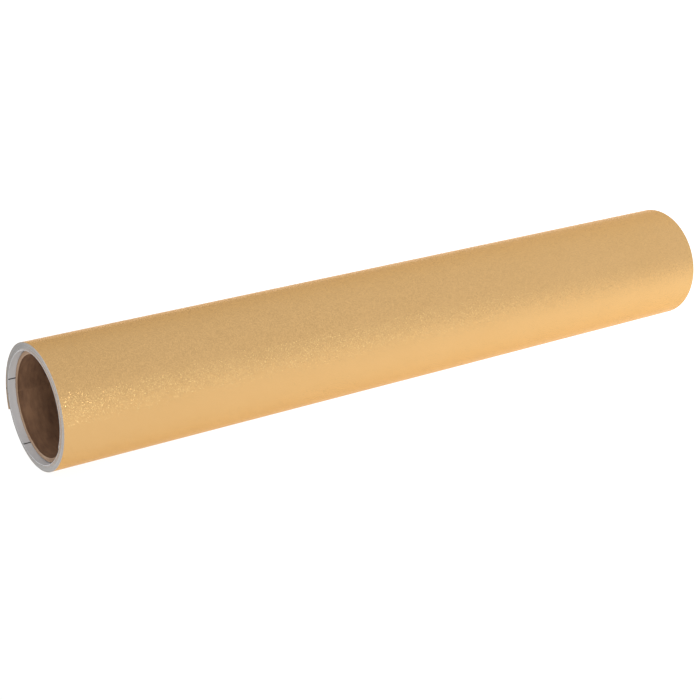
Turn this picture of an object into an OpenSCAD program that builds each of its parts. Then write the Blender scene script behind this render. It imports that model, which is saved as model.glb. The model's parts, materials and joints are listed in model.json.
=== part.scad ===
// Roll of sign vinyl: self-adhesive film on a release liner, wound film side out on a
// spiral-wound paper core. The roll's axis is X, +Z is up, and the origin is the middle
// of the core's bore. Angles go round the axis from +Y (back) towards +Z (top), and the
// web winds outwards as the angle falls.

/* [Web] */
// Width of the web, which is the length of the roll
web_w = 304.8; // [100:0.1:620]
// Thickness of the coloured film with its adhesive
film_t = 0.075; // [0.06:0.005:0.08]
// Thickness of the release liner
liner_t = 0.15; // [0.12:0.005:0.15]
// Distance from one wrap to the next
wrap_pitch = 0.25; // [0.25:0.01:0.4]
// Full turns of web on the core
turns = 10; // [2:1:20]
// Angle at which the web starts on the core
web_start = 206; // [185:1:210]

/* [Core] */
// Inside diameter of the core
bore_d = 38.1; // [25:0.1:80]
// Thickness of one ply of the core's paper tube
ply_t = 0.45; // [0.3:0.01:1]
// How far each end of the core stops short of the web's edge
core_recess = 2.1; // [0:0.1:8]
// Thickness of the double-sided tape under the start of the web
tape_t = 0.09; // [0.06:0.005:0.09]

/* [Free end] */
// Number of flexing stretches between the roll and the sprung end
tail_count = 5; // [1:1:8]
// Angle that each flexing stretch covers
tail_step = 12; // [5:1:12]
// Angle at which the free end lifts off the roll
lift_angle = 50; // [20:1:60]
// How much wider than the roll the sprung end curls
relaxed_by = 2.35; // [1:0.05:6]
// Angle that the sprung end covers
end_sweep = 65; // [30:1:75]
// Number of flexing stretches of film that peel off the liner at the end
peel_count = 6; // [1:1:8]

/* [Hidden] */
// Air left between two layers that lie on each other
gap = 0.01;
// Width of the slit between two stretches of the free end, as an angle
slit = 0.06;
// Space between the core and the web where the web starts
start_gap = 0.12;

ply_r = [for (i = [0 : 2]) bore_d / 2 + i * (ply_t + gap)];
core_r = ply_r[2] + ply_t;
core_l = web_w - 2 * core_recess;

// Inner radius of the liner, and of the film on it, in the upper half of the first full wrap
liner_r = core_r + start_gap + wrap_pitch;
film_r = liner_r + liner_t + gap;
half_pitch = wrap_pitch / 2;
// How far the free end lies outside the first full wrap
last_wrap = turns * wrap_pitch;

// The flexing stretches end where the free end lifts off
tail_start = lift_angle + tail_count * tail_step;
// The sprung end's curl is drawn about a point opposite to where it lifts off
curl_centre = -relaxed_by * [cos(lift_angle), sin(lift_angle)];
// Angle of the sprung end over which the film stays on the liner
held_sweep = tail_step;
peel_step = (end_sweep - held_sweep) / peel_count;

// Double-sided tape between the core and the start of the web
tape_sweep = 28;
tape_l = core_l - 10;

film_gold = [0.80, 0.64, 0.43];
liner_white = [0.74, 0.73, 0.71];
core_kraft = [0.62, 0.47, 0.36];
tape_cream = [0.86, 0.82, 0.70];

// A layer bent round the axis, from one angle through a sweep, with inner radius r
module bent_layer(r, t, from, sweep, width = web_w) {
    rotate([90, 0, 90])
        rotate_extrude(angle = sweep, start = from, $fn = 180)
            translate([r, -width / 2])
                square([t, width]);
}

// Upper half turn i of a layer, whose first full wrap has inner radius r
module upper_turn(r, t, i, from = 0, to = 180) {
    bent_layer(r + i * wrap_pitch, t, from, to - from);
}

// Lower half turn i, drawn half a pitch wider and half a pitch to the front
module lower_turn(r, t, i, from = -180, to = 0) {
    translate([0, -half_pitch, 0])
        bent_layer(r + i * wrap_pitch + half_pitch, t, from, to - from);
}

// A layer of the wound web, from its start on the core to its last full turn
module inner_wraps(r, t) {
    lower_turn(r, t, -2, to = web_start - 360);
    for (i = [-1 : turns - 2]) {
        upper_turn(r, t, i);
        lower_turn(r, t, i);
    }
    upper_turn(r, t, turns - 1, from = tail_start);
}

// The last full turn of a layer, which ends where the free end begins
module outer_wrap(r, t) {
    upper_turn(r, t, turns - 1, to = tail_start);
    lower_turn(r, t, turns - 1);
    upper_turn(r, t, turns, from = tail_start);
}

// One layer of a flexing stretch of the free end, counted from the roll
module tail_layer(r, t, i) {
    from = tail_start - i * tail_step;
    bent_layer(r + last_wrap, t, from, tail_step - slit);
}

// One layer of the sprung end, between two angles counted from where it lifts off
module curled_layer(r, t, near, far) {
    translate([0, curl_centre[0], curl_centre[1]])
        bent_layer(r + last_wrap + relaxed_by, t, lift_angle - far, far - near - slit);
}

module core_ply(i) {
    color(core_kraft)
        bent_layer(ply_r[i], ply_t, 0, 360, core_l);
}

module core_inner_ply() {
    core_ply(0);
}

module core_middle_ply() {
    core_ply(1);
}

module core_outer_ply() {
    core_ply(2);
}

module starter_tape() {
    color(tape_cream)
        bent_layer(core_r + gap / 2, tape_t, web_start - tape_sweep, tape_sweep, tape_l);
}

module liner_wound() {
    color(liner_white) {
        inner_wraps(liner_r, liner_t);
        outer_wrap(liner_r, liner_t);
    }
}

module film_inner_wraps() {
    color(film_gold)
        inner_wraps(film_r, film_t);
}

module film_outer_wrap() {
    color(film_gold)
        outer_wrap(film_r, film_t);
}

module liner_tail(i) {
    color(liner_white)
        tail_layer(liner_r, liner_t, i);
}

module film_tail(i) {
    color(film_gold)
        tail_layer(film_r, film_t, i);
}

module liner_tail_end() {
    color(liner_white)
        curled_layer(liner_r, liner_t, 0, end_sweep);
}

module film_tail_end() {
    color(film_gold)
        curled_layer(film_r, film_t, 0, held_sweep);
}

module film_peel(i) {
    near = held_sweep + (i - 1) * peel_step;
    color(film_gold)
        curled_layer(film_r, film_t, near, near + peel_step);
}

core_inner_ply();
core_middle_ply();
core_outer_ply();
starter_tape();
liner_wound();
film_inner_wraps();
film_outer_wrap();
for (i = [1 : tail_count]) {
    liner_tail(i);
    film_tail(i);
}
liner_tail_end();
film_tail_end();
for (i = [1 : peel_count])
    film_peel(i);
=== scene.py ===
import json
import math

import bpy
import numpy as np
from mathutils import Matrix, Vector


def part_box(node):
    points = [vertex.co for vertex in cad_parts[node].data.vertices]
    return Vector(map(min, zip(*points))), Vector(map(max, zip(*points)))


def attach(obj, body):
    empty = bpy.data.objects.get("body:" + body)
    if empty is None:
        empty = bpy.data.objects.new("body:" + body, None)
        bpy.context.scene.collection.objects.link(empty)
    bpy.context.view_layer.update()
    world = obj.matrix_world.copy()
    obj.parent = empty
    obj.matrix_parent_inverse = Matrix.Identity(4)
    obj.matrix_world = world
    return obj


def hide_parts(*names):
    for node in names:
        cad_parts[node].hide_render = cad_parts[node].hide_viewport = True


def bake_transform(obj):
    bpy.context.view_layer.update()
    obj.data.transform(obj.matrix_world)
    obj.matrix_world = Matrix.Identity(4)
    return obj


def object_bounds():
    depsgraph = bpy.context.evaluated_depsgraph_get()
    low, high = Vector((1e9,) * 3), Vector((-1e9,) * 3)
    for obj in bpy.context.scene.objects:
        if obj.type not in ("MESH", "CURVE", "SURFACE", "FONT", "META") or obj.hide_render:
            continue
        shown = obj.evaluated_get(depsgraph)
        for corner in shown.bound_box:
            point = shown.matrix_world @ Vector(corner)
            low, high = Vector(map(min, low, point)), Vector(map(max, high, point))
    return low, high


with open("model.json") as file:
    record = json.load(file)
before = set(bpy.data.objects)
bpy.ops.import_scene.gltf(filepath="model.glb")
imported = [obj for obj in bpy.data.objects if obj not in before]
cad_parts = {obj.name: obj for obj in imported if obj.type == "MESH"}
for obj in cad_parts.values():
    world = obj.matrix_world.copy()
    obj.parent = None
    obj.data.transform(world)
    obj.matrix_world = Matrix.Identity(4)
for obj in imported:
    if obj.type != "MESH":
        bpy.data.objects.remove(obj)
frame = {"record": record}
cad_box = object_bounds()

# The roll's axis is X. Angles go round it from +Y (back) towards +Z (top). A place along
# the web is given by its travel, the angle in degrees wound since the back of the core:
# travel grows outwards and the angle falls with it, so angle = -travel.

MM = 0.001
INCH = 0.0254

# The web, as the CAD model winds it
FILM_T = 0.075 * MM
LINER_T = 0.15 * MM
LAYER_GAP = 0.01 * MM
PITCH = 0.25 * MM
TURNS = 10
PLY_T = 0.45 * MM
START_GAP = 0.12 * MM
TAPE_T = 0.09 * MM
TAPE_SWEEP = 28.0

# The free end, as the CAD model cuts it
TAIL_COUNT = 5
TAIL_STEP = 12.0
LIFT_ANGLE = 50.0
RELAXED_BY = 2.35 * MM
END_SWEEP = 65.0
PEEL_COUNT = 6
HELD_SWEEP = TAIL_STEP
PEEL_STEP = (END_SWEEP - HELD_SWEEP) / PEEL_COUNT

core_mount = next(m for m in frame["record"]["mounts"] if m["name"] == "core_bore")
BORE_R = core_mount["dims"]["r_mm"] * MM
CORE_L = core_mount["dims"]["length_mm"] * MM
WEB_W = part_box("film_outer_wrap")[1].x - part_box("film_outer_wrap")[0].x
CORE_R = BORE_R + 3 * PLY_T + 2 * LAYER_GAP
LINER_R = CORE_R + START_GAP + PITCH
FILM_R = LINER_R + LINER_T + LAYER_GAP
ROLL_R = FILM_R + FILM_T + TURNS * PITCH

# Travel at the places where the web starts, flexes, lifts off and ends
WEB_START = -206.0
LAST_BACK = 180.0 * (2 * TURNS + 2)
LIFT = LAST_BACK - LIFT_ANGLE
TAIL_START = LIFT - TAIL_COUNT * TAIL_STEP
WEB_END = LIFT + END_SWEEP

# The innermost wraps have slid out of the near end: how far and how many, the travel where
# they stand out most, and how far the first of them stands off the core
TELESCOPE = 0.75 * MM
SLID_TURNS = 3
SLID_MOST = 45.0
LOOSE = 0.10 * MM

# The web is never quite true. Waves on the roll: height, and for each its share, its count in
# a turn, its radians in a metre along the axis, and its phase. Ripples of the free end:
# height, and for each its share, its radians in a metre, and its phase.
WAVE = 0.014 * MM
WAVES = ((1.0, 2, 9, 0.4), (0.7, 3, -31, 2.1), (0.5, 5, 52, 4.0), (0.35, 8, -77, 1.2))
RIPPLE = 0.11 * MM
RIPPLES = ((1.0, 19, 0.8), (0.6, 47, 2.6), (0.35, 96, 0.0))

# The core's paper plies: facets round a ply, rounding of its sawn edges, depth and half width
# of its seam, how far from the end the saw bent it, and how uneven the saw left it
PLY_FACETS = 192
SAWN_EDGE = 0.08 * MM
SEAM_DEPTH = 0.06 * MM
SEAM_HALF = 0.5 * MM
SAW_REACH = 1.2 * MM
FRAY = 0.05 * MM


# ---------------------------------------------------------------- shape of the web

def centre_of(travel):
    """Y and Z of the point that each stretch of the spiral is drawn about."""
    lower = np.floor(travel / 180) % 2 == 0
    lifted = travel > LIFT
    y = np.where(lower, -PITCH / 2, 0.0)
    y = np.where(lifted, -RELAXED_BY * math.cos(math.radians(LIFT_ANGLE)), y)
    z = np.where(lifted, -RELAXED_BY * math.sin(math.radians(LIFT_ANGLE)), 0.0)
    return y, z


def growth_of(travel):
    """How much wider the web runs at each travel than in the first full wrap."""
    wound = (np.floor(travel / 180) - 1) * PITCH / 2
    return np.where(travel > LIFT, TURNS * PITCH + RELAXED_BY, wound)


def smooth(t):
    """Eases from 0 to 1 as t does."""
    t = np.clip(t, 0.0, 1.0)
    return t * t * (3 - 2 * t)


def share_wound(travel):
    """How much of the ring's thickness is wound at each travel, from 0 to 1."""
    return np.clip(growth_of(travel) / (TURNS * PITCH), 0.0, 1.0)


def looseness(travel):
    """How far the inner wraps stand off the core, once past the tape at the web's start."""
    return LOOSE * smooth((travel - WEB_START) / 90) * (1 - share_wound(travel))


def unevenness(travel, x):
    """How far the web stands off its true place: wraps share it, so they never cross."""
    a = np.radians(-travel)
    outer = share_wound(travel)
    wave = sum(share * np.sin(n * a + k * x + phase) for share, n, k, phase in WAVES)
    loose = smooth((travel - LIFT) / END_SWEEP)
    ripple = sum(share * np.sin(k * x + phase) for share, k, phase in RIPPLES)
    return WAVE * outer * wave + RIPPLE * loose * ripple


def slide(travel):
    """How far each wrap has slid along the axis: the inner ones out of the near end, and all
    of them a little to and fro."""
    inner = 1 - smooth((travel - WEB_START) / (SLID_TURNS * 360))
    back = 0.62 + 0.38 * np.cos(np.radians(travel - SLID_MOST))
    drift = np.sin(travel * 0.021) + 0.6 * np.sin(travel * 0.0077 + 1.0)
    return -TELESCOPE * inner * back + 0.035 * MM * drift


def web_points(travel, x, r):
    """Points of a layer with inner radius r in the first full wrap, one row for each travel."""
    t, xs = np.meshgrid(travel, x, indexing="ij")
    a = np.radians(-t)
    cy, cz = centre_of(t)
    radius = r + growth_of(t) + looseness(t) + unevenness(t, xs)
    return np.stack([xs + slide(t), cy + radius * np.cos(a), cz + radius * np.sin(a)], -1)


def length_along(travel):
    """Length of web wound at each travel, from the web's start."""
    steps = np.linspace(WEB_START, WEB_END, 8000)
    speed = np.radians(1.0) * (LINER_R + growth_of(steps))
    total = np.concatenate([[0], np.cumsum(np.diff(steps) * (speed[1:] + speed[:-1]) / 2)])
    return np.interp(travel, steps, total)


# The inch marks on the liner: travel at one of them, how far they reach in from each edge,
# and the length that puts that one halfway through its inch
MARK_AT = -12.2
MARK_LENGTH = 12 * MM
MARK_PHASE = INCH / 2 - float(length_along(MARK_AT))


# ---------------------------------------------------------------- meshes

def add_mesh(name, points, faces, slots, uvs, materials):
    """A mesh object with a material for each face: smooth, with sharp rims."""
    mesh = bpy.data.meshes.new(name)
    mesh.from_pydata([tuple(p) for p in points], [], faces)
    for m in materials:
        mesh.materials.append(m)
    mesh.polygons.foreach_set("material_index", slots)
    mesh.polygons.foreach_set("use_smooth", [True] * len(faces))
    corners = np.array([v for f in faces for v in f])
    layer = mesh.uv_layers.new(name="web")
    layer.data.foreach_set("uv", np.asarray(uvs, float)[corners].ravel())
    mesh.set_sharp_from_angle(angle=math.radians(40.0))
    mesh.update()
    obj = bpy.data.objects.new(name, mesh)
    bpy.context.scene.collection.objects.link(obj)
    return obj


def grid_faces(first, rows, columns, flipped=False):
    """Quads over a grid of points whose first index is given."""
    faces = []
    for i in range(rows - 1):
        for j in range(columns - 1):
            a = first + i * columns + j
            quad = (a, a + 1, a + columns + 1, a + columns)
            faces.append(quad[::-1] if flipped else quad)
    return faces


def rim_faces(rows, columns):
    """Quads that join the rims of two equal grids, the second laid over the first."""
    over = rows * columns
    near = [i * columns for i in range(rows)]
    far = [i * columns + columns - 1 for i in range(rows)]
    start = list(range(columns))
    end = [(rows - 1) * columns + j for j in range(columns)]
    loop = start + far[1:] + end[-2::-1] + near[-2:0:-1]
    return [(a, b, b + over, a + over) for a, b in zip(loop, loop[1:] + loop[:1])]


def layer_piece(name, start, end, step, x, r, t, materials):
    """A stretch of one layer of the web as a closed sheet: inner face, outer face and rims."""
    rows = math.ceil((end - start) / step) + 1
    travel = np.linspace(start, end, rows)
    inner = web_points(travel, x, r)
    outer = web_points(travel, x, r + t)
    points = np.concatenate([inner.reshape(-1, 3), outer.reshape(-1, 3)])
    v, u = np.meshgrid(length_along(travel), x + WEB_W / 2, indexing="ij")
    uv = np.stack([u, v], -1).reshape(-1, 2)
    inner_faces = grid_faces(0, rows, len(x))
    outer_faces = grid_faces(rows * len(x), rows, len(x), flipped=True)
    rims = [f[::-1] for f in rim_faces(rows, len(x))]
    slots = [0] * len(inner_faces) + [1] * len(outer_faces) + [2] * len(rims)
    faces = inner_faces + outer_faces + rims
    return add_mesh(name, points, faces, slots, np.concatenate([uv, uv]), materials)


def tube_section(r, t, length):
    """A tube's section as a loop of points (x, radius): bore, far end, outside, near end.
    Also tells which of the loop's sides are on a cut end."""
    end = length / 2
    by_end = np.array([0.0, 0.25, 0.5, 0.8, 1.2]) * MM
    middle = np.linspace(-end + 2 * MM, end - 2 * MM, 153)
    wall = np.concatenate([-end + SAWN_EDGE + by_end, middle,
                           (end - SAWN_EDGE - by_end)[::-1]])
    section = (
        [(x, r) for x in wall]
        + [(end, r + SAWN_EDGE), (end, r + t - SAWN_EDGE)]
        + [(x, r + t) for x in wall[::-1]]
        + [(-end, r + t - SAWN_EDGE), (-end, r + SAWN_EDGE)]
    )
    n = len(wall)
    is_cut = [n - 1 <= j < n + 2 or j >= 2 * n + 1 for j in range(len(section))]
    return np.array(section), is_cut


def tube_piece(name, r, t, length, materials, seam_lead, seam_side, seed, burr):
    """A paper ply: a tube with its strip's seam, whose soft cut ends are slightly uneven
    and turned in a little by the saw, as far as the burr."""
    section, is_cut = tube_section(r, t, length)
    angle = np.linspace(0, 2 * math.pi, PLY_FACETS, endpoint=False)
    a, k = np.meshgrid(angle, np.arange(len(section)), indexing="ij")
    x, true_radius = section[k, 0], section[k, 1]
    turn = (x / seam_lead - a / (2 * math.pi)) % 1.0
    off_seam = np.minimum(turn, 1 - turn) * seam_lead
    groove = SEAM_DEPTH * np.exp(-((off_seam / SEAM_HALF) ** 2))
    on_inner = np.abs(true_radius - r) < SAWN_EDGE / 2
    on_outer = np.abs(true_radius - r - t) < SAWN_EDGE / 2
    by_saw = smooth(1 - (length / 2 - np.abs(x)) / SAW_REACH)
    radius = true_radius + groove * np.where(on_inner & (seam_side == "inner"), 1, 0)
    radius -= groove * np.where(on_outer & (seam_side == "outer"), 1, 0)
    radius -= by_saw * np.where(true_radius < r + t / 2, burr, 0.0)
    frayed = np.random.default_rng(seed).normal(0, 1, (PLY_FACETS, 1))
    frayed = (frayed + np.roll(frayed, 1, 0) + np.roll(frayed, 2, 0)) / 3
    at_end = np.abs(x) > length / 2 - 2 * SAWN_EDGE
    x = x + np.where(at_end, FRAY * frayed, 0.0)
    points = np.stack([x, radius * np.cos(a), radius * np.sin(a)], -1).reshape(-1, 3)
    n = len(section)
    faces = [
        (i * n + j, i * n + (j + 1) % n, (i + 1) % PLY_FACETS * n + (j + 1) % n,
         (i + 1) % PLY_FACETS * n + j)
        for i in range(PLY_FACETS) for j in range(n)
    ]
    slots = [int(cut) for cut in is_cut] * PLY_FACETS
    uv = np.stack([x.ravel() + length / 2, a.ravel() * r], -1)
    return add_mesh(name, points, faces, slots, uv, materials)


# ---------------------------------------------------------------- materials

class Surface:
    """A material with one Principled shader, and short ways to wire nodes into it."""

    def __init__(self, name, **plain):
        self.material = bpy.data.materials.new(name)
        self.material.use_nodes = True
        self.tree = self.material.node_tree
        self.shader = self.tree.nodes["Principled BSDF"]
        for socket, value in plain.items():
            self.shader.inputs[socket.replace("_", " ")].default_value = value

    def node(self, kind, inputs=(), **settings):
        """A new node, with values or sockets fed to its inputs."""
        made = self.tree.nodes.new("ShaderNode" + kind)
        for key, value in settings.items():
            setattr(made, key, value)
        for key, value in dict(inputs).items():
            self.feed(made.inputs[key], value)
        return made

    def feed(self, socket, value):
        if isinstance(value, bpy.types.NodeSocket):
            self.tree.links.new(value, socket)
        else:
            socket.default_value = value

    def math(self, operation, *values):
        """The result of a Math node."""
        return self.node("Math", dict(enumerate(values)), operation=operation).outputs[0]

    def vector(self, operation, first, second=(0.0, 0.0, 0.0)):
        """The result of a Vector Math node."""
        return self.node("VectorMath", {0: first, 1: second}, operation=operation).outputs[0]

    def scaled(self, vector, factor):
        made = self.node("VectorMath", {0: vector, "Scale": factor}, operation="SCALE")
        return made.outputs[0]

    def web(self):
        """Place on the web in metres: X across it, Y along it."""
        return self.node("UVMap", uv_map="web").outputs["UV"]

    def place(self):
        """Place in metres in the roll's own frame."""
        return self.node("TexCoord").outputs["Object"]

    def noise(self, where, scale, detail=4.0, roughness=0.55, stretch=None):
        if stretch is not None:
            where = self.node("Mapping", {"Vector": where, "Scale": stretch}).outputs[0]
        inputs = {"Vector": where, "Scale": scale, "Detail": detail, "Roughness": roughness}
        return self.node("TexNoise", inputs).outputs["Fac"]

    def ramp(self, value, low, high, to_low=0.0, to_high=1.0, shape="LINEAR"):
        """Goes from to_low to to_high as the value goes from low to high."""
        inputs = {"Value": value, "From Min": low, "From Max": high,
                  "To Min": to_low, "To Max": to_high}
        return self.node("MapRange", inputs, interpolation_type=shape).outputs[0]

    def mix(self, share, first, second):
        """The first colour, with a share of the second."""
        made = self.node("Mix", data_type="RGBA")
        self.feed(made.inputs["Factor"], share)
        self.feed(made.inputs[6], first)
        self.feed(made.inputs[7], second)
        return made.outputs[2]

    def bump(self, height, distance, strength):
        inputs = {"Height": height, "Distance": distance, "Strength": strength}
        return self.node("Bump", inputs).outputs[0]

    def put(self, **sockets):
        """Feeds the shader's sockets and gives the finished material."""
        for socket, value in sockets.items():
            self.feed(self.shader.inputs[socket.replace("_", " ")], value)
        return self.material


def rgb(r, g, b):
    return (r, g, b, 1.0)


def gold_film():
    """Pearl gold film: fine metallic flakes in a satin film."""
    flake_size, flake_tilt = 0.24 * MM, 0.46
    s = Surface("gold_film", Metallic=0.85, Specular_Tint=rgb(0.92, 0.68, 0.42))
    web = s.web()
    flakes = s.node("TexVoronoi", {"Vector": web, "Scale": 1 / flake_size},
                    voronoi_dimensions="2D").outputs["Color"]
    tilt = s.scaled(s.vector("SUBTRACT", flakes, (0.5, 0.5, 0.5)), flake_tilt)
    normal = s.node("NewGeometry").outputs["Normal"]
    normal = s.vector("NORMALIZE", s.vector("ADD", normal, tilt))
    shade = s.node("SeparateColor", {"Color": flakes}).outputs[2]
    cloud = s.noise(web, 35.0, detail=3.0)
    glow = s.math("ADD", s.ramp(shade, 0.0, 1.0, 0.0, 0.65), s.ramp(cloud, 0.3, 0.7, 0.0, 0.35))
    colour = s.mix(glow, rgb(0.675, 0.412, 0.164), rgb(0.715, 0.445, 0.187))
    roughness = s.ramp(cloud, 0.3, 0.7, 0.23, 0.27)
    return s.put(Base_Color=colour, Roughness=roughness, Normal=normal)


def film_edge():
    """The cut edge of the film, where the gold and the plastic below it show together."""
    s = Surface("film_edge", Roughness=0.5, Metallic=0.2)
    grain = s.noise(s.place(), 2500.0, detail=2.0)
    return s.put(Base_Color=s.mix(grain, rgb(0.24, 0.21, 0.18), rgb(0.37, 0.33, 0.28)))


def adhesive():
    """The tacky side of the film: a pale grey coat with the liner's fine texture."""
    s = Surface("adhesive", Coat_Weight=0.4, Coat_Roughness=0.25)
    web = s.web()
    fine = s.noise(web, 1400.0, detail=3.0)
    cloud = s.noise(web, 60.0)
    colour = s.mix(cloud, rgb(0.46, 0.42, 0.36), rgb(0.56, 0.52, 0.46))
    return s.put(Base_Color=colour, Roughness=s.ramp(fine, 0.3, 0.7, 0.32, 0.45),
                 Normal=s.bump(fine, 0.01 * MM, 0.5))


def by_free_edge(s):
    """Grows from 0 to 1 over the last stretch of the web, where the liner gets a painted tan
    reflection of the gold film.
    """
    along = s.node("SeparateXYZ", {"Vector": s.web()}).outputs[1]
    return s.ramp(along, 1.53, 1.59)


def paper_colour(s, light, dark):
    """Colour with the faint clouds and fibres of coated paper, and the fibres themselves."""
    web = s.web()
    cloud = s.noise(web, 45.0, detail=5.0)
    fibre = s.noise(web, 320.0, detail=4.0, stretch=(1.0, 0.22, 1.0))
    both = s.math("ADD", s.math("MULTIPLY", cloud, 0.5), s.math("MULTIPLY", fibre, 0.5))
    return s.mix(s.ramp(both, 0.35, 0.65), dark, light), fibre


def liner_release():
    """The liner's release side: white paper under a smooth silicone coat."""
    s = Surface("liner_release", Coat_Weight=0.6, Coat_Roughness=0.18)
    colour, fibre = paper_colour(s, rgb(0.74, 0.73, 0.71), rgb(0.66, 0.65, 0.63))
    return s.put(Base_Color=colour, Roughness=s.ramp(fibre, 0.3, 0.7, 0.38, 0.5),
                 Normal=s.bump(fibre, 0.008 * MM, 0.4))


def liner_printed():
    """The liner's back: matt light grey paper, with a short black mark at each inch of both
    edges. Near the free edge it is painted tan, a painted reflection of the gold film."""
    s = Surface("liner_printed")
    colour, fibre = paper_colour(s, rgb(0.62, 0.61, 0.60), rgb(0.55, 0.54, 0.53))
    split = s.node("SeparateXYZ", {"Vector": s.web()})
    across, along = split.outputs[0], split.outputs[1]
    inches = s.math("DIVIDE", s.math("ADD", along, MARK_PHASE), INCH)
    nearest = s.math("ABSOLUTE", s.math("SUBTRACT", s.math("FRACT", inches), 0.5))
    off_line = s.math("MULTIPLY", nearest, INCH)
    on_line = s.ramp(off_line, 0.20 * MM, 0.26 * MM, 1.0, 0.0)
    from_middle = s.math("ABSOLUTE", s.math("SUBTRACT", across, WEB_W / 2))
    near_edge = s.math("GREATER_THAN", from_middle, WEB_W / 2 - MARK_LENGTH)
    worn = s.ramp(s.noise(s.web(), 2200.0, detail=2.0), 0.25, 0.45, 0.85, 1.0)
    ink = s.math("MULTIPLY", s.math("MULTIPLY", on_line, near_edge), worn)
    # Painted reflection: by the free edge the paper is tinted tan, for the gold light that the
    # film bounces onto the lifted liner.
    gold_bounce_tint = s.mix(fibre, rgb(0.48, 0.35, 0.23), rgb(0.58, 0.43, 0.29))
    colour = s.mix(by_free_edge(s), colour, gold_bounce_tint)
    colour = s.mix(ink, colour, rgb(0.010, 0.010, 0.011))
    return s.put(Base_Color=colour, Roughness=s.ramp(fibre, 0.3, 0.7, 0.55, 0.7),
                 Normal=s.bump(fibre, 0.012 * MM, 0.5))


def paper_edge():
    """The slit edge of the liner, with painted light and shade: lighter on the inner wraps, as
    if they caught the light, and greyer on the outer wraps, darkest at the back and lighter at
    the front. By the free edge it has a painted tan reflection of the gold film."""
    s = Surface("paper_edge", Roughness=0.75)
    grain = s.noise(s.place(), 1600.0, detail=4.0)
    along = s.node("SeparateXYZ", {"Vector": s.web()}).outputs[1]
    depth = s.node("SeparateXYZ", {"Vector": s.place()}).outputs[1]
    # Painted shade: the outer wraps' edges are a darker grey, and the ramp on Y paints them
    # darker still at the back and lighter at the front.
    outer_wraps_painted_shade = s.mix(grain, rgb(0.30, 0.295, 0.29), rgb(0.50, 0.495, 0.49))
    outer_wraps_painted_shade = s.scaled(outer_wraps_painted_shade, s.ramp(depth, -14 * MM, 14 * MM, 1.20, 0.74))
    # Painted light: the inner wraps' edges are lighter, as if they stood out and caught the
    # light.
    inner_wraps_painted_light = s.mix(grain, rgb(0.56, 0.56, 0.57), rgb(0.78, 0.78, 0.79))
    # Painted reflection: by the free edge the cut edge is tan, for the gold light bounced off
    # the film.
    gold_bounce_tint = s.mix(grain, rgb(0.27, 0.19, 0.11), rgb(0.38, 0.27, 0.15))
    colour = s.mix(s.ramp(along, 0.10, 0.50), inner_wraps_painted_light, outer_wraps_painted_shade)
    return s.put(Base_Color=s.mix(by_free_edge(s), colour, gold_bounce_tint),
                 Normal=s.bump(grain, 0.02 * MM, 0.5))


def core_board(name, light, dark):
    """Brown paperboard: long fibres round the tube, blotches and a few pale flecks."""
    s = Surface(name)
    web = s.web()
    blotch = s.noise(web, 70.0, detail=6.0, roughness=0.62)
    fibre = s.noise(web, 700.0, detail=5.0, stretch=(1.0, 0.25, 1.0))
    fleck = s.ramp(s.noise(web, 900.0, detail=2.0, stretch=(1.0, 0.25, 1.0)), 0.70, 0.78)
    tone = s.math("ADD", s.math("MULTIPLY", blotch, 0.55), s.math("MULTIPLY", fibre, 0.45))
    colour = s.mix(s.ramp(tone, 0.38, 0.62), dark, light)
    colour = s.mix(s.math("MULTIPLY", fleck, 0.35), colour, rgb(0.50, 0.38, 0.26))
    return s.put(Base_Color=colour, Roughness=s.ramp(fibre, 0.3, 0.7, 0.72, 0.9),
                 Normal=s.bump(tone, 0.06 * MM, 0.7))


def tissue_tape():
    """Thin double-sided tissue tape."""
    s = Surface("tissue_tape", Coat_Weight=0.3, Coat_Roughness=0.3)
    fibre = s.noise(s.web(), 500.0, detail=5.0)
    return s.put(Base_Color=s.mix(fibre, rgb(0.60, 0.55, 0.42), rgb(0.78, 0.74, 0.62)),
                 Roughness=s.ramp(fibre, 0.3, 0.7, 0.4, 0.6),
                 Normal=s.bump(fibre, 0.02 * MM, 0.5))


def pale_floor():
    """White acrylic of a light table: it glows most by the roll, on the right, and less far
    in front."""
    s = Surface("pale_floor", Roughness=0.9, Specular_IOR_Level=0.1,
                Emission_Color=rgb(1.0, 1.0, 1.0))
    split = s.node("SeparateXYZ", {"Vector": s.place()})
    front = s.ramp(split.outputs[1], -1.60, -0.30, 0.50, 0.88, shape="SMOOTHSTEP")
    right = s.ramp(split.outputs[0], -0.20, 0.30, 0.0, 0.52)
    close = s.ramp(split.outputs[1], -0.20, -0.02)
    cloud = s.noise(s.place(), 3.0)
    return s.put(Base_Color=s.mix(cloud, rgb(0.14, 0.14, 0.14), rgb(0.16, 0.16, 0.16)),
                 Emission_Strength=s.math("ADD", front, s.math("MULTIPLY", right, close)))


film_faces = [adhesive(), gold_film(), film_edge()]
liner_faces = [liner_printed(), liner_release(), paper_edge()]


# ---------------------------------------------------------------- pieces

def columns(middle):
    """Places across the web: close together by its edges, evenly spaced between them."""
    edge = np.array([0.0, 0.4, 1.2, 3.0, 7.0]) * MM
    inside = np.linspace(-WEB_W / 2 + 2 * edge[-1], WEB_W / 2 - 2 * edge[-1], middle)
    return np.concatenate([-WEB_W / 2 + edge, inside, (WEB_W / 2 - edge)[::-1]])


COARSE = columns(9)
FINE = columns(90)


def film(name, start, end, step, x):
    return layer_piece(name, start, end, step, x, FILM_R, FILM_T, film_faces)


def liner(name, start, end, step, x):
    return layer_piece(name, start, end, step, x, LINER_R, LINER_T, liner_faces)


def settle(piece, slot, *replaced):
    """Stands the piece in place of the CAD nodes it replaces, which it hides. The slot is not
    used.
    """
    if replaced:
        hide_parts(*replaced)
    return piece


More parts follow.
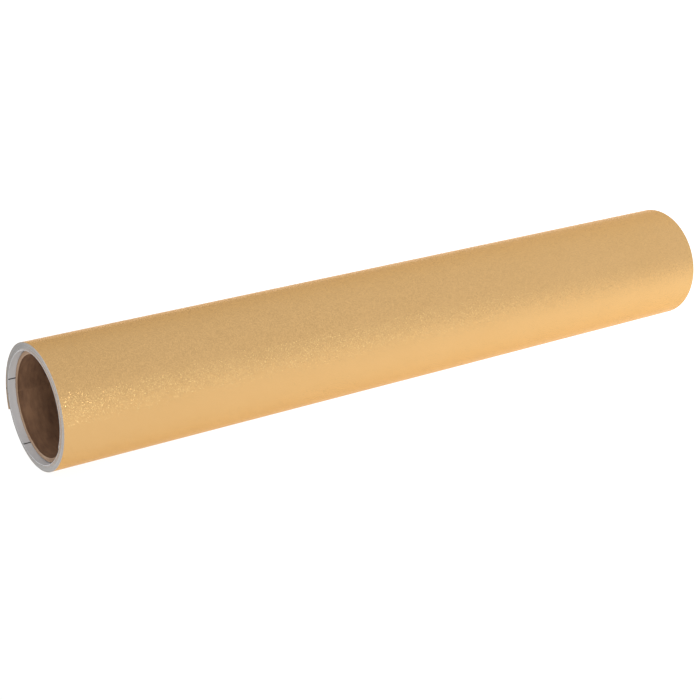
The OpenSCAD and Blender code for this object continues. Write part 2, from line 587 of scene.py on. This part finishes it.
def wound_web():
    """The web on the roll: the liner in one piece, the film in inner wraps and the last."""
    half = TAIL_STEP / 2
    outer_start = TAIL_START - 360
    inner = film("film_inner_wraps_web", WEB_START, outer_start, 2.0, COARSE)
    outer = film("film_outer_wrap_web", outer_start, TAIL_START - half, 1.0, FINE)
    paper = liner("liner_wound_web", WEB_START, TAIL_START - half, 2.0, COARSE)
    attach(settle(inner, "gold_film", "film_inner_wraps"), "roll")
    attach(settle(outer, "gold_film", "film_outer_wrap"), "roll")
    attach(settle(paper, "release_liner", "liner_wound"), "roll")


def free_end():
    """The free end: each piece reaches from the middle of one CAD stretch to the next."""
    chain = ["roll"] + [f"tail_{i}" for i in range(1, TAIL_COUNT + 1)] + ["tail_end"]
    half = TAIL_STEP / 2
    for i in range(1, len(chain)):
        hinge = TAIL_START + (i - 1) * TAIL_STEP
        stretch = "end" if chain[i] == "tail_end" else str(i)
        for make, layer, slot, r in ((film, "film", "gold_film", FILM_R),
                                     (liner, "liner", "release_liner", LINER_R)):
            piece = make(f"{layer}_bend_{i}", hinge - half, hinge + half, 1.0, FINE)
            settle(piece, slot, f"{layer}_tail_{stretch}")
            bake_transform(piece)
    curl = liner("liner_free_end", LIFT + half, WEB_END, 1.0, FINE)
    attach(settle(curl, "release_liner"), "tail_end")


def peeling_film():
    """The film at the free end: a piece for each of the CAD's peel stretches, and its free edge.
    """
    chain = ["tail_end"] + [f"peel_{i}" for i in range(1, PEEL_COUNT + 1)]
    half = PEEL_STEP / 2
    begin = LIFT + TAIL_STEP / 2
    for i in range(1, len(chain)):
        hinge = LIFT + HELD_SWEEP + (i - 1) * PEEL_STEP
        piece = film(f"film_peel_bend_{i}", begin, hinge + half, 0.75, FINE)
        settle(piece, "gold_film", f"film_peel_{i}")
        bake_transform(piece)
        begin = hinge + half
    edge = film("film_free_edge", begin, WEB_END, 0.75, FINE)
    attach(settle(edge, "gold_film"), chain[-1])


def core():
    """Three plies of brown paperboard, with a seam in the bore and one on the outside."""
    bored = core_board("core_bore_board", rgb(0.285, 0.150, 0.076), rgb(0.145, 0.070, 0.034))
    cut = core_board("core_cut_board", rgb(0.470, 0.315, 0.205), rgb(0.300, 0.190, 0.120))
    # CAD node, side that shows the seam, distance the seam moves along in a turn, burr
    plies = (("core_inner_ply", "inner", 62 * MM, 0.25 * MM),
             ("core_middle_ply", "none", 70 * MM, 0.0),
             ("core_outer_ply", "outer", 78 * MM, 0.0))
    for i, (node, seam, lead, burr) in enumerate(plies):
        r = BORE_R + i * (PLY_T + LAYER_GAP)
        ply = tube_piece(node + "_paper", r, PLY_T, CORE_L, [bored, cut],
                         seam_lead=lead, seam_side=seam, seed=11 + i, burr=burr)
        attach(settle(ply, "core_kraft", node), "roll")


def starter_tape():
    """The strip of tape that holds the web's start on the core."""
    inset = 5 * MM
    x = np.linspace(-CORE_L / 2 + inset, CORE_L / 2 - inset, 40)
    angle = np.linspace(-WEB_START - TAPE_SWEEP, -WEB_START, 29)
    a, xs = np.meshgrid(np.radians(angle), x, indexing="ij")
    low = CORE_R + LAYER_GAP / 2
    grids = [np.stack([xs, r * np.cos(a), r * np.sin(a)], -1).reshape(-1, 3)
             for r in (low, low + TAPE_T)]
    rows, cols = len(angle), len(x)
    faces = grid_faces(0, rows, cols, flipped=True) + grid_faces(rows * cols, rows, cols)
    faces += rim_faces(rows, cols)
    uv = np.stack([xs.ravel(), a.ravel() * low], -1)
    tape = add_mesh("starter_tape_strip", np.concatenate(grids), faces, [0] * len(faces),
                    np.concatenate([uv, uv]), [tissue_tape()])
    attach(settle(tape, "starter_tape", "starter_tape"), "roll")


wound_web()
free_end()
peeling_film()
core()
starter_tape()


# ---------------------------------------------------------------- studio

FLOOR_Z = cad_box[0].z


def floor():
    """A pale floor under the roll, wide enough to reach past the view."""
    size = 12.0
    mesh = bpy.data.meshes.new("floor")
    corners = [(-size, -size), (size, -size), (size, size), (-size, size)]
    mesh.from_pydata([(x, y, FLOOR_Z) for x, y in corners], [], [(0, 1, 2, 3)])
    mesh.materials.append(pale_floor())
    obj = bpy.data.objects.new("floor", mesh)
    bpy.context.scene.collection.objects.link(obj)


def soft_box(name, place, aim, size, power, colour):
    """A rectangular lamp that faces the point it is aimed at."""
    light = bpy.data.lights.new(name, "AREA")
    light.shape = "RECTANGLE"
    light.size, light.size_y = size
    light.energy = power
    light.color = colour
    obj = bpy.data.objects.new(name, light)
    obj.location = place
    obj.rotation_euler = (Vector(aim) - Vector(place)).to_track_quat("-Z", "Y").to_euler()
    bpy.context.scene.collection.objects.link(obj)


def surroundings():
    """A white room, brighter off the two ends of the roll than across it."""
    world = bpy.data.worlds.new("surroundings")
    world.use_nodes = True
    tree = world.node_tree
    where = tree.nodes.new("ShaderNodeTexCoord")
    split = tree.nodes.new("ShaderNodeSeparateXYZ")
    endwise = tree.nodes.new("ShaderNodeMath")
    endwise.operation = "ABSOLUTE"
    brightness = tree.nodes.new("ShaderNodeMapRange")
    limits = {"From Min": 0.3, "From Max": 0.7, "To Min": 0.75, "To Max": 1.05}
    for socket, value in limits.items():
        brightness.inputs[socket].default_value = value
    background = tree.nodes["Background"]
    background.inputs["Color"].default_value = rgb(0.97, 0.99, 1.04)
    tree.links.new(where.outputs["Generated"], split.inputs[0])
    tree.links.new(split.outputs["X"], endwise.inputs[0])
    tree.links.new(endwise.outputs[0], brightness.inputs["Value"])
    tree.links.new(brightness.outputs[0], background.inputs["Strength"])
    bpy.context.scene.world = world


def studio():
    """A small lamp that makes the flakes glitter, and a softer one into the near end."""
    soft_box("front", (0.32, -1.10, 0.10), (-0.10, 0.0, 0.0), (0.22, 0.14), 0.30,
             (0.70, 0.92, 1.0))
    soft_box("near_end", (-0.40, -1.10, 0.25), (-0.15, 0.0, 0.0), (0.24, 0.30), 2.4,
             (1.0, 1.0, 1.0))
    surroundings()
    bpy.context.scene.view_settings.view_transform = "Standard"


def camera():
    """Looks down at the roll from its near end, in front of it."""
    azimuth, elevation = math.radians(-35.18), math.radians(20.11)
    aim = Vector((-16.4, 0.0, -7.1)) * MM
    distance = 658.3 * MM
    back = Vector((math.sin(azimuth) * math.cos(elevation),
                   -math.cos(azimuth) * math.cos(elevation), math.sin(elevation)))
    data = bpy.data.cameras.new("camera")
    data.lens, data.sensor_width = 85.0, 36.0
    data.clip_start, data.clip_end = 0.02, 60.0
    obj = bpy.data.objects.new("camera", data)
    obj.location = aim + back * distance
    obj.rotation_euler = (-back).to_track_quat("-Z", "Y").to_euler()
    bpy.context.scene.collection.objects.link(obj)
    bpy.context.scene.camera = obj


floor()
studio()
camera()
